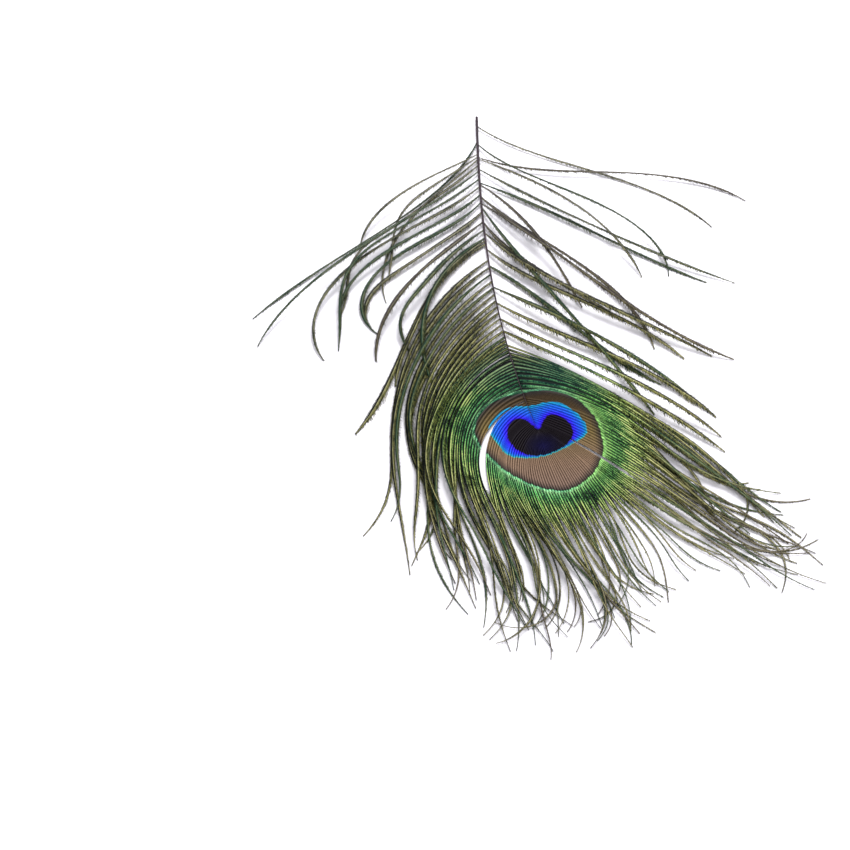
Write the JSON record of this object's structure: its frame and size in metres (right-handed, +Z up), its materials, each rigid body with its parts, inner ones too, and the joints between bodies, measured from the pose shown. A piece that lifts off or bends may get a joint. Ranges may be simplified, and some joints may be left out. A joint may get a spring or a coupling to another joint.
{
  "type": "peacock feather",
  "caption": "Cut eye feather of a peacock lying flat: a slender leaning shaft, loose barbs down both sides and a closed oval eye with a skirt of long locks sweeping round it.",
  "frame": {"origin": "centre of the eye, on the flat underside that the feather rests on", "axes": "+Y up the shaft towards its cut end, +X to the right as seen from above with the cut end away, +Z up, out of the patterned face"},
  "size_m": [0.1764, 0.2556, 0.0058],
  "materials": {
    "feather": "iridescent barbs: olive and green in the loose part, bronze, turquoise, violet blue and near black in the eye"
  },
  "bodies": {
    "root": {"feather": "feather"}
  },
  "joints": []
}
